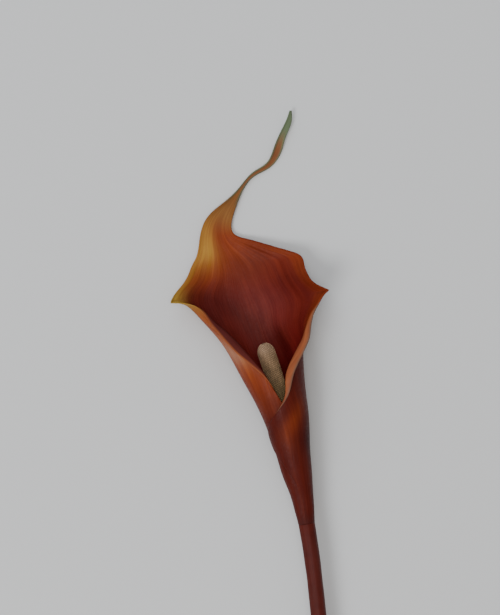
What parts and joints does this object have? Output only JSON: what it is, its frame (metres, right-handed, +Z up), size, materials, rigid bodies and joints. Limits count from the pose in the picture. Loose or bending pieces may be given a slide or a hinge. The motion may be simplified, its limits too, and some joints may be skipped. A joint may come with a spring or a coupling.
{
  "type": "calla lily flower",
  "caption": "Cut calla lily flower lying on its back: one rolled, flared spathe with a long curling tail around a fleshy spadix, on a smooth slender stem.",
  "frame": {"origin": "under the middle of the whole flower, on the surface it lies on", "axes": "+X to the right of the flower seen from above with its tail away from the viewer, +Y along the flower from the cut end of the stem to the tip of the tail, +Z up, out of the mouth"},
  "size_m": [0.0684, 0.4064, 0.0265],
  "materials": {
    "stem_skin": "smooth waxy red-brown plant skin, satin, with fine lengthwise lines and a pale green-white cut end",
    "spathe_skin": "satin petal skin, burgundy in the throat passing to red-orange with orange streaks along the veins, ochre and yellow-green at the left rim and tip",
    "spadix_florets": "matt tan pollen-bearing florets, olive towards the base"
  },
  "bodies": {
    "root": {"stem": "stem_skin", "spathe": "spathe_skin", "spadix": "spadix_florets"}
  },
  "joints": []
}
